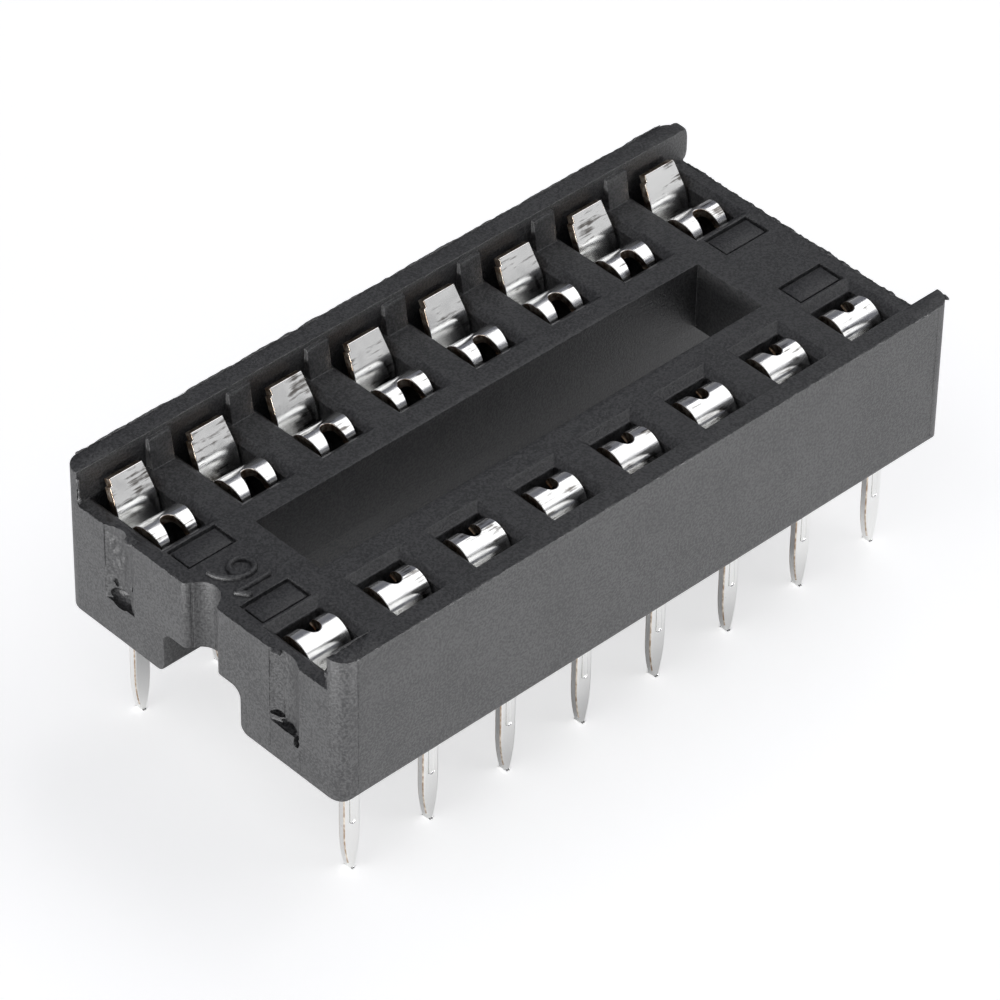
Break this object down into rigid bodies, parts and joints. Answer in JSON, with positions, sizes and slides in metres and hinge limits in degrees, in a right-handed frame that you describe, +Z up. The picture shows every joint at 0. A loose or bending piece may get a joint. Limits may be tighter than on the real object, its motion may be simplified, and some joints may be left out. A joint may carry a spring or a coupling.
{
  "type": "ic socket",
  "caption": "Dual-in-line IC socket with low side walls, open middle window and two-leaf stamped contacts with flat solder tails.",
  "frame": {"origin": "centre of the pin grid in the plane of the housing's underside, where it sits on the circuit board", "axes": "+X along the rows away from the notched end, +Y across to the second row, +Z up towards the chip"},
  "size_m": [0.0202, 0.01, 0.0079],
  "materials": {
    "housing_plastic": "glass-filled black thermoplastic, fine matte moulded skin",
    "contact_tin": "bright tin plate over stamped copper alloy strip, fine rolling scratches"
  },
  "bodies": {
    "root": {"housing": "housing_plastic", "contact_01": "contact_tin", "contact_02": "contact_tin", "contact_03": "contact_tin", "contact_04": "contact_tin", "contact_05": "contact_tin", "contact_06": "contact_tin", "contact_07": "contact_tin", "contact_08": "contact_tin", "contact_09": "contact_tin", "contact_10": "contact_tin", "contact_11": "contact_tin", "contact_12": "contact_tin", "contact_13": "contact_tin", "contact_14": "contact_tin", "contact_15": "contact_tin", "contact_16": "contact_tin"}
  },
  "joints": []
}
